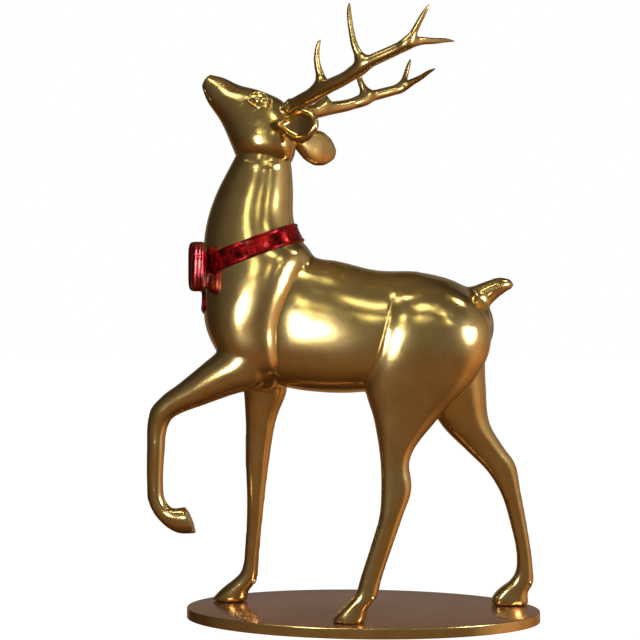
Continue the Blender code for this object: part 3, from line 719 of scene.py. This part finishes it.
# The red ribbon and its bow. The ribbon's hem is a low round bead along each edge.
RIBBON_HEM = 0.012
RIBBON_HEM_RISE = 0.004
RIBBON_HEM_LEVELS = (0.0, 0.0015, 0.004, 0.007, 0.010, 0.012, 0.020)
RIBBON_SINK = 0.002


def ribbon_profile(level):
    """How far the ribbon's face stands proud of its flat, at a level across its width."""
    edge = RIBBON_WIDTH / 2 - abs(level)
    if edge > RIBBON_HEM:
        return 0.0
    return RIBBON_HEM_RISE * math.sin(math.pi * min(1.0, max(0.0, (RIBBON_HEM - edge) / RIBBON_HEM)) ** 0.8)


def make_ribbon():
    """A slice of the neck's skin, grown outwards and given a wall."""
    bm = neck_skin(RIBBON_THICKNESS)
    x, z = RIBBON_MIDDLE
    place = Matrix.Translation(stag_point(x, 0, z)) @ Matrix.Rotation(-RIBBON_TILT, 4, "Y")
    middle, up = place.translation, place.to_3x3() @ Vector((0, 0, 1))
    half = RIBBON_WIDTH / 2
    for level in [side * (half - step) for step in RIBBON_HEM_LEVELS for side in (-1, 1)]:
        everything = list(bm.verts) + list(bm.edges) + list(bm.faces)
        bmesh.ops.bisect_plane(bm, geom=everything, dist=1e-6, plane_co=middle + up * level, plane_no=up)
    outside = [v for v in bm.verts if abs((v.co - middle).dot(up)) > half + 1e-5]
    bmesh.ops.delete(bm, geom=outside, context="VERTS")
    bmesh.ops.recalc_face_normals(bm, faces=bm.faces)
    bm.normal_update()
    for vert in bm.verts:
        vert.co += vert.normal * ribbon_profile((vert.co - middle).dot(up))
    ribbon = gather([bm], "neck_ribbon")
    wall = ribbon.modifiers.new("wall", "SOLIDIFY")
    wall.thickness = RIBBON_THICKNESS + RIBBON_SINK
    wall.offset = -1.0
    return settle(ribbon)


BOW_LOOP_STATIONS = (
    (0.06, 0.30, 0.50, 0.00),
    (0.30, 0.72, 0.80, 0.00),
    (0.60, 0.98, 1.00, 0.02),
    (0.84, 1.00, 1.00, 0.05),
    (0.97, 0.86, 0.80, 0.07),
)
BOW_TAIL_STATIONS = (
    (0.04, 0.15, 0.55, 0.00),
    (0.30, 0.35, 0.80, 0.06),
    (0.52, 0.55, 1.00, 0.10),
    (0.76, 0.78, 1.00, 0.11),
    (1.00, 1.00, 1.00, 0.09),
)
BOW_TAIL_LENGTHS = {-1: 0.215, 1: 0.258}
BOW_TAIL_SPREAD = 0.070
BOW_TAIL_WIDTH = 0.033
BOW_TAIL_SLANT = 0.35
BOW_TAIL_THICKNESS = (0.019, 0.006)
BOW_KNOT_STATIONS = ((-1.0, 0.7), (-0.6, 0.82), (0.0, 1.0), (0.6, 0.82), (1.0, 0.7))
BOW_KNOT_RADII = (0.040, 0.038, 0.050)
# The short end that comes out behind the near loop: x, side distance, z and width. Its width leans and its
# wall has a half thickness, in metres.
BOW_NEAR_END = (
    (-26.6, -4.4, 58.4, 0.5),
    (-25.5, -4.7, 57.0, 0.72),
    (-25.4, -4.6, 55.8, 0.45),
    (-25.7, -4.4, 54.5, 0.12),
)
BOW_NEAR_END_LEAN = 0.004
BOW_NEAR_END_WALL = Vector((0.001, 0.006, 0))


def bow_loop(middle, side):
    rings = []
    for share, height, depth, back in smooth_stations(BOW_LOOP_STATIONS):
        place = middle + Vector((back, side * share, 0)) * BOW_SPAN / 2
        deep, tall = Vector((depth * BOW_DEPTH / 2, 0, 0)), Vector((0, 0, height * BOW_HEIGHT / 2))
        rings.append((place, deep, tall))
    return skin(rings, LOOP_SIDES, (0.0, 0.25), (5.0, 5.0))


def bow_tail(middle, side):
    length = BOW_TAIL_LENGTHS[side]
    thick, thin = BOW_TAIL_THICKNESS
    rings = []
    for share, spread, width, sway in smooth_stations(BOW_TAIL_STATIONS):
        place = middle + Vector((sway * length, side * spread * BOW_TAIL_SPREAD, -length * share))
        across = Vector((0, 1, side * BOW_TAIL_SLANT)) * width * BOW_TAIL_WIDTH
        rings.append((place, Vector((thick - (thick - thin) * share, 0, 0)), across))
    return skin(rings, SMALL_SIDES, (0.0, 0.0), (6.0, 6.0))


def bow_knot(middle):
    deep, broad, tall = BOW_KNOT_RADII
    rings = []
    for share, swell in smooth_stations(BOW_KNOT_STATIONS):
        place = middle + Vector((0, 0, share * tall))
        rings.append((place, Vector((swell * deep, 0, 0)), Vector((0, swell * broad, 0))))
    return skin(rings, SMALL_SIDES, (0.3, 0.3))


def bow_near_end():
    rings = []
    for x, side, z, width in smooth_stations(BOW_NEAR_END):
        across = Vector((width * UNIT, BOW_NEAR_END_LEAN, 0))
        rings.append((stag_point(x, side, z), across, BOW_NEAR_END_WALL))
    return skin(rings, STRAP_SIDES, (0.1, 0.1), (4.0, 4.0))


def make_bow():
    middle = stag_point(BOW_MIDDLE[0], 0, BOW_MIDDLE[1])
    skins = []
    for side in (-1, 1):
        skins += [bow_loop(middle, side), bow_tail(middle, side)]
    skins += [bow_knot(middle), bow_near_end()]
    bow = cast(gather(skins, "chest_bow"), *BOW_CAST)
    fold_loops(bow, middle)
    return bow


# Folds down the end of a loop: how far each place from front to rear stands out, in metres. The gathers run
# out from the knot, and a pinch crosses the folds at a level above the bow's middle. Starts, ends, rises and
# falls are shares of half the bow's span.
BOW_FOLD_PLACES = (-0.045, -0.018, -0.011, -0.003, 0.005, 0.014, 0.022, 0.032, 0.045)
BOW_FOLD_LIFTS = (-0.015, 0.001, 0.004, -0.002, 0.003, -0.002, 0.003, -0.002, -0.008)
BOW_GATHERS = 11
BOW_GATHER_DEPTH = 0.0035
BOW_GATHER_START, BOW_GATHER_RISE = 0.12, 0.2
BOW_GATHER_END, BOW_GATHER_FALL = 0.75, 0.3
BOW_GATHER_ROOT = 0.03
BOW_GATHER_TURN = 0.7
BOW_FOLD_START, BOW_FOLD_RISE = 0.80, 0.14
BOW_FOLD_LEAN = 0.04
BOW_FOLD_BACK = 0.07
BOW_PINCH_LEVEL = 0.039
BOW_PINCH_WIDTH = 0.010
BOW_PINCH_DEPTH = 0.0015
BOW_PINCH_SLANT = 0.15


def fold_loops(bow, middle):
    """Gathers that run out from the knot, upright folds round the loops' ends, and a pinch across them."""
    places, normals = surface_of(bow.data)
    away = places - np.array(middle)
    share = np.abs(away[:, 1]) / (BOW_SPAN / 2)
    inner = np.clip((share - BOW_GATHER_START) / BOW_GATHER_RISE, 0, 1)
    inner *= np.clip((BOW_GATHER_END - share) / BOW_GATHER_FALL, 0, 1)
    angle = np.arctan2(away[:, 2], np.abs(away[:, 1]) + BOW_GATHER_ROOT)
    gathers = np.sin(BOW_GATHERS * angle + BOW_GATHER_TURN)
    outer = np.clip((share - BOW_FOLD_START) / BOW_FOLD_RISE, 0, 1)
    back = away[:, 0] - BOW_FOLD_LEAN * away[:, 2] - BOW_FOLD_BACK * BOW_SPAN / 2
    folds = np.interp(back, BOW_FOLD_PLACES, BOW_FOLD_LIFTS)
    level = away[:, 2] - BOW_PINCH_LEVEL - BOW_PINCH_SLANT * away[:, 0]
    pinch = np.exp(-((level / BOW_PINCH_WIDTH) ** 2))
    loops = np.abs(away[:, 2]) < BOW_HEIGHT / 2
    lift = (BOW_GATHER_DEPTH * inner * gathers + outer * (folds - BOW_PINCH_DEPTH * pinch)) * loops
    places += normals * lift[:, None]
    bow.data.vertices.foreach_set("co", places.ravel())
    bow.data.update()


def make_base():
    """The oval plate, with its top edge rounded over."""
    bm = bmesh.new()
    middle = Matrix.Translation((0, 0, BASE_THICKNESS / 2))
    bmesh.ops.create_cone(bm, cap_ends=True, segments=BASE_SIDES, radius1=0.5, radius2=0.5,
                          depth=BASE_THICKNESS, matrix=middle)
    bmesh.ops.scale(bm, vec=(BASE_LENGTH, BASE_WIDTH, 1), verts=bm.verts)
    rim = [e for e in bm.edges if all(v.co.z > BASE_THICKNESS / 2 for v in e.verts)]
    bmesh.ops.bevel(bm, geom=rim, offset=BASE_EDGE_ROUND, segments=BASE_EDGE_STEPS, profile=0.5,
                    affect="EDGES", material=-1)
    bmesh.ops.recalc_face_normals(bm, faces=bm.faces)
    return gather([bm], "oval_base")


# Finishes.
def sockets(group, way, **kinds):
    """Gives a node group its inputs or outputs."""
    for name, (kind, value) in kinds.items():
        socket = group.interface.new_socket(name=name, in_out=way, socket_type="NodeSocket" + kind)
        if value is not None:
            socket.default_value = value


GRAIN_SHARE = 0.45  # how much of the tone is brushed grain; the rest is cloud
BRUSH_STRETCH = (1.0, 1.0, 0.28)
BRUSH_SLANT = 0.6
# Detail and roughness of the two noises, the polish noise's low and high, and the height of the raised grain.
GRAIN_NOISE = (4.0, 0.65)
CLOUD_NOISE = (5.0, 0.6)
POLISH_ENDS = (0.3, 0.7)
GRAIN_HEIGHT = 0.001
LACQUER_ROUGHNESS = 0.08


def noise(nodes, detail, roughness):
    made = nodes.new("ShaderNodeTexNoise")
    made.inputs["Detail"].default_value = detail
    made.inputs["Roughness"].default_value = roughness
    return made


def map_range(nodes, from_ends, to_ends=(0.0, 1.0)):
    made = nodes.new("ShaderNodeMapRange")
    for name, value in zip(("From Min", "From Max", "To Min", "To Max"), (*from_ends, *to_ends)):
        made.inputs[name].default_value = value
    return made


def brushed_leaf():
    """Fine brushed grain, cloudy tone and polish of a metal leaf finish."""
    group = bpy.data.node_groups.new("brushed_leaf", "ShaderNodeTree")
    sockets(group, "INPUT", Vector=("Vector", None), Grain=("Float", 260.0), Cloud=("Float", 9.0))
    sockets(group, "OUTPUT", Tone=("Float", None), Polish=("Float", None), Height=("Float", None))
    nodes, link = group.nodes, group.links.new
    inside, out = nodes.new("NodeGroupInput"), nodes.new("NodeGroupOutput")
    stretch = nodes.new("ShaderNodeMapping")
    stretch.inputs["Scale"].default_value = BRUSH_STRETCH
    stretch.inputs["Rotation"].default_value = (0.0, BRUSH_SLANT, 0.0)
    link(inside.outputs["Vector"], stretch.inputs["Vector"])
    grain = noise(nodes, *GRAIN_NOISE)
    link(stretch.outputs["Vector"], grain.inputs["Vector"])
    link(inside.outputs["Grain"], grain.inputs["Scale"])
    cloud = noise(nodes, *CLOUD_NOISE)
    link(inside.outputs["Vector"], cloud.inputs["Vector"])
    link(inside.outputs["Cloud"], cloud.inputs["Scale"])
    mix = nodes.new("ShaderNodeMath")
    mix.operation = "MULTIPLY_ADD"
    mix.inputs[1].default_value = GRAIN_SHARE
    link(grain.outputs["Fac"], mix.inputs[0])
    rest = nodes.new("ShaderNodeMath")
    rest.operation = "MULTIPLY"
    rest.inputs[1].default_value = 1 - GRAIN_SHARE
    link(cloud.outputs["Fac"], rest.inputs[0])
    link(rest.outputs[0], mix.inputs[2])
    link(mix.outputs[0], out.inputs["Tone"])
    link(grain.outputs["Fac"], out.inputs["Polish"])
    link(grain.outputs["Fac"], out.inputs["Height"])
    return group


def ramp(nodes, stops):
    """A colour ramp with the given places and colours."""
    made = nodes.new("ShaderNodeValToRGB")
    elements = made.color_ramp.elements
    while len(elements) < len(stops):
        elements.new(0.5)
    for element, (place, colour) in zip(elements, stops):
        element.position = place
        element.color = (*colour, 1.0)
    return made


def leaf_material(name, group, tones, polish, grain, bump, metallic=1.0, cloud=9.0, lacquer=0.0):
    """A metal leaf finish: its tones, its roughness from and to, and how fine and raised its grain is."""
    material = bpy.data.materials.new(name)
    material.use_nodes = True
    nodes, link = material.node_tree.nodes, material.node_tree.links.new
    shader = nodes["Principled BSDF"]
    shader.inputs["Metallic"].default_value = metallic
    shader.inputs["Coat Weight"].default_value = lacquer
    shader.inputs["Coat Roughness"].default_value = LACQUER_ROUGHNESS
    place = nodes.new("ShaderNodeTexCoord")
    effect = nodes.new("ShaderNodeGroup")
    effect.node_tree = group
    effect.inputs["Grain"].default_value = grain
    effect.inputs["Cloud"].default_value = cloud
    link(place.outputs["Object"], effect.inputs["Vector"])
    colour = ramp(nodes, tones)
    link(effect.outputs["Tone"], colour.inputs["Fac"])
    link(colour.outputs["Color"], shader.inputs["Base Color"])
    rough = map_range(nodes, POLISH_ENDS, polish)
    link(effect.outputs["Polish"], rough.inputs["Value"])
    link(rough.outputs["Result"], shader.inputs["Roughness"])
    relief = nodes.new("ShaderNodeBump")
    relief.inputs["Strength"].default_value = bump
    relief.inputs["Distance"].default_value = GRAIN_HEIGHT
    link(effect.outputs["Height"], relief.inputs["Height"])
    link(relief.outputs["Normal"], shader.inputs["Normal"])
    return material


GOLD_TONES = ((0.30, (0.70, 0.47, 0.16)), (0.50, (0.82, 0.59, 0.23)), (0.70, (0.90, 0.69, 0.31)))
BRONZE_TONES = ((0.30, (0.46, 0.23, 0.12)), (0.50, (0.54, 0.29, 0.155)), (0.70, (0.64, 0.36, 0.20)))
RIBBON_TONES = (
    (0.40, (0.05, 0.0, 0.003)),
    (0.46, (0.17, 0.002, 0.004)),
    (0.53, (0.42, 0.004, 0.007)),
    (0.62, (0.62, 0.012, 0.013)),
)
BOW_TONES = ((0.35, (0.12, 0.001, 0.005)), (0.50, (0.34, 0.003, 0.009)), (0.65, (0.55, 0.010, 0.015)))

leaf = brushed_leaf()
gold = leaf_material("gold_leaf_paint", leaf, GOLD_TONES, (0.15, 0.21), 300.0, 0.07)
antler_gold = leaf_material("gold_leaf_polished", leaf, GOLD_TONES, (0.22, 0.28), 300.0, 0.0)
base_top = leaf_material(
    "base_satin_bronze", leaf, BRONZE_TONES, (0.20, 0.28), 90.0, 0.004, metallic=0.85, cloud=5.0,
)
ribbon_red = leaf_material(
    "ribbon_candy_red", leaf, RIBBON_TONES, (0.18, 0.28), 60.0, 0.10, metallic=0.85, cloud=24.0, lacquer=0.2,
)
bow_red = leaf_material(
    "bow_candy_red", leaf, BOW_TONES, (0.14, 0.20), 40.0, 0.02, metallic=0.85, cloud=7.0, lacquer=1.0,
)


STAG_SHARP_ANGLE = math.radians(38)
BASE_SHARP_ANGLE = math.radians(35)
BASE_TOP_FACING = 0.9  # how far up a normal points at least on the base's top


def dress(piece, node, slot, *materials):
    """Finishes a piece, puts it on its body and lets it stand for its node."""
    piece.data.materials.clear()
    for material in materials:
        piece.data.materials.append(material)
    piece.data.shade_smooth()
    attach(piece, "root")
    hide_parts(node)


stag = make_stag()
dress(stag, "stag", "gold_paint", gold)
stag.data.set_sharp_from_angle(angle=STAG_SHARP_ANGLE)
dress(make_antler(-1), "antler_left", "gold_paint", antler_gold)
dress(make_antler(1), "antler_right", "gold_paint", antler_gold)
dress(make_ribbon(), "ribbon_collar", "ribbon_red", ribbon_red)
dress(make_bow(), "bow", "ribbon_red", bow_red)
base = make_base()
dress(base, "base_plate", "base_gold", base_top, gold)
for face in base.data.polygons:
    face.material_index = 0 if face.normal.z > BASE_TOP_FACING else 1
base.data.set_sharp_from_angle(angle=BASE_SHARP_ANGLE)


# The studio: a pale floor, soft lamps and the photograph's camera.
FLOOR_SIZE = 40.0
FLOOR_GREY = (0.10, 0.10, 0.10)
FLOOR_ROUGHNESS = 0.9


def make_floor():
    bm = bmesh.new()
    bmesh.ops.create_grid(bm, x_segments=1, y_segments=1, size=FLOOR_SIZE)
    floor = gather([bm], "studio_floor")
    paper = bpy.data.materials.new("studio_paper")
    paper.use_nodes = True
    shader = paper.node_tree.nodes["Principled BSDF"]
    shader.inputs["Base Color"].default_value = (*FLOOR_GREY, 1.0)
    shader.inputs["Roughness"].default_value = FLOOR_ROUGHNESS
    shader.inputs["Emission Color"].default_value = (1.0, 1.0, 1.0, 1.0)
    shader.inputs["Emission Strength"].default_value = 1.0
    floor.data.materials.append(paper)
    floor.visible_glossy = False
    floor.visible_diffuse = False


# The room's walls from behind the statue to the camera, their tint from the floor up, and the window in them:
# where it starts and is full towards the tail, and how much brighter it is.
WALL_STOPS = (
    (0.00, (0.260, 0.235, 0.220)),
    (0.12, (0.170, 0.150, 0.140)),
    (0.24, (0.040, 0.032, 0.027)),
    (0.60, (0.055, 0.045, 0.038)),
    (0.80, (0.105, 0.092, 0.080)),
    (1.00, (0.145, 0.130, 0.112)),
)
TINT_STOPS = (
    (0.00, (1.05, 0.60, 0.32)),
    (0.28, (1.45, 0.90, 0.52)),
    (0.40, (1.20, 0.84, 0.60)),
    (0.50, (0.95, 0.88, 0.80)),
    (0.62, (1.0, 1.0, 1.0)),
    (0.90, (1.1, 1.1, 1.08)),
    (0.97, (1.8, 1.8, 1.6)),
    (1.00, (3.0, 3.0, 2.6)),
)
WINDOW_FROM, WINDOW_FULL, WINDOW_GLOW = 0.60, 0.95, 7.0


def make_room():
    """The room that the gold mirrors: lit behind and in front and warm below, before a white backdrop."""
    world = bpy.data.worlds.new("studio")
    bpy.context.scene.world = world
    world.use_nodes = True
    nodes, link = world.node_tree.nodes, world.node_tree.links.new
    nodes.clear()
    out = nodes.new("ShaderNodeOutputWorld")
    mix = nodes.new("ShaderNodeMixShader")
    backdrop = nodes.new("ShaderNodeBackground")
    backdrop.inputs["Color"].default_value = (1.0, 1.0, 1.0, 1.0)
    room = nodes.new("ShaderNodeBackground")
    place = nodes.new("ShaderNodeTexCoord")
    split = nodes.new("ShaderNodeSeparateXYZ")
    link(place.outputs["Generated"], split.inputs["Vector"])
    depth = map_range(nodes, (1.0, -1.0))
    link(split.outputs["Y"], depth.inputs["Value"])
    walls = ramp(nodes, WALL_STOPS)
    link(depth.outputs["Result"], walls.inputs["Fac"])
    level = map_range(nodes, (-1.0, 1.0))
    link(split.outputs["Z"], level.inputs["Value"])
    tint = ramp(nodes, TINT_STOPS)
    link(level.outputs["Result"], tint.inputs["Fac"])
    paint = nodes.new("ShaderNodeMix")
    paint.data_type = "RGBA"
    paint.blend_type = "MULTIPLY"
    paint.inputs["Factor"].default_value = 1.0
    link(walls.outputs["Color"], paint.inputs[6])
    link(tint.outputs["Color"], paint.inputs[7])
    link(paint.outputs[2], room.inputs["Color"])
    window = map_range(nodes, (WINDOW_FROM, WINDOW_FULL), (1.0, WINDOW_GLOW))
    link(split.outputs["X"], window.inputs["Value"])
    link(window.outputs["Result"], room.inputs["Strength"])
    ray = nodes.new("ShaderNodeLightPath")
    link(ray.outputs["Is Camera Ray"], mix.inputs["Fac"])
    link(room.outputs["Background"], mix.inputs[1])
    link(backdrop.outputs["Background"], mix.inputs[2])
    link(mix.outputs["Shader"], out.inputs["Surface"])


WHITE = (1.0, 1.0, 1.0)
LIME = (0.98, 1.0, 0.70)
# Each lamp's name, place, the point it faces, width, height, radiance, colour and shape.
SOFTBOXES = (
    ("key", (-1.50, -4.2, 2.05), (0.0, 0.0, 1.3), 0.76, 1.25, 16.0, WHITE, "ELLIPSE"),
    ("side", (3.5, -3.5, 2.20), (0.1, 0.0, 1.5), 1.4, 1.6, 12.0, WHITE, "ELLIPSE"),
    ("left_high", (-2.3, -2.2, 5.7), (-0.6, 0.0, 2.4), 1.5, 1.0, 3.5, (1.0, 1.0, 0.85), "RECTANGLE"),
    ("rump_high", (2.55, -1.2, 4.9), (0.6, -0.2, 1.5), 0.50, 0.50, 14.0, (0.98, 1.0, 0.80), "ELLIPSE"),
    ("haunch_high", (-0.6, -2.0, 5.1), (0.4, -0.2, 1.5), 0.45, 0.45, 10.0, (0.98, 1.0, 0.75), "ELLIPSE"),
    ("strip", (0.40, -4.1, 4.9), (0.2, 0.0, 1.4), 0.80, 0.24, 9.0, LIME, "RECTANGLE"),
)
# Small round lamps before the statue, all at one distance and of one radiance: x, z and width.
ROUND_LAMPS = (
    (0.17, 3.35, 0.22),
    (1.6, 3.30, 0.26),
    (1.45, 4.25, 0.34),
    (-1.2, 3.65, 0.34),
    (-1.05, 2.95, 0.20),
)
ROUND_LAMPS_Y = -4.1
ROUND_LAMPS_AIM = (0.2, 0.0, 1.4)
ROUND_LAMPS_GLOW = 7.0


def softbox(name, place, aim, width, height, glow, colour, shape):
    """A soft lamp whose face glows with a given radiance."""
    data = bpy.data.lights.new(name, "AREA")
    data.shape = shape
    data.size = width
    data.size_y = height
    data.energy = glow * math.pi * width * height
    data.color = colour
    lamp = bpy.data.objects.new(name, data)
    lamp.location = place
    lamp.rotation_euler = (Vector(aim) - Vector(place)).to_track_quat("-Z", "Y").to_euler()
    bpy.context.scene.collection.objects.link(lamp)


make_floor()
make_room()
for row in SOFTBOXES:
    softbox(*row)
for number, (x, z, width) in enumerate(ROUND_LAMPS):
    place = (x, ROUND_LAMPS_Y, z)
    softbox(f"lamp_{number}", place, ROUND_LAMPS_AIM, width, width, ROUND_LAMPS_GLOW, LIME, "ELLIPSE")
bpy.context.scene.view_settings.view_transform = "Standard"

# The camera, fitted to the photograph: it looks level, turned a little from the statue's side.
CAMERA_PLACE = (0.0605, -5.3607, 1.469)
CAMERA_TURN = math.radians(2.87)
CAMERA_LENS = 61.07
CAMERA_SENSOR = 36.0

camera = bpy.data.objects.new("camera", bpy.data.cameras.new("camera"))
camera.location = CAMERA_PLACE
camera.rotation_euler = (math.radians(90), 0, CAMERA_TURN)
camera.data.lens = CAMERA_LENS
camera.data.sensor_width = CAMERA_SENSOR
bpy.context.scene.collection.objects.link(camera)
bpy.context.scene.camera = camera
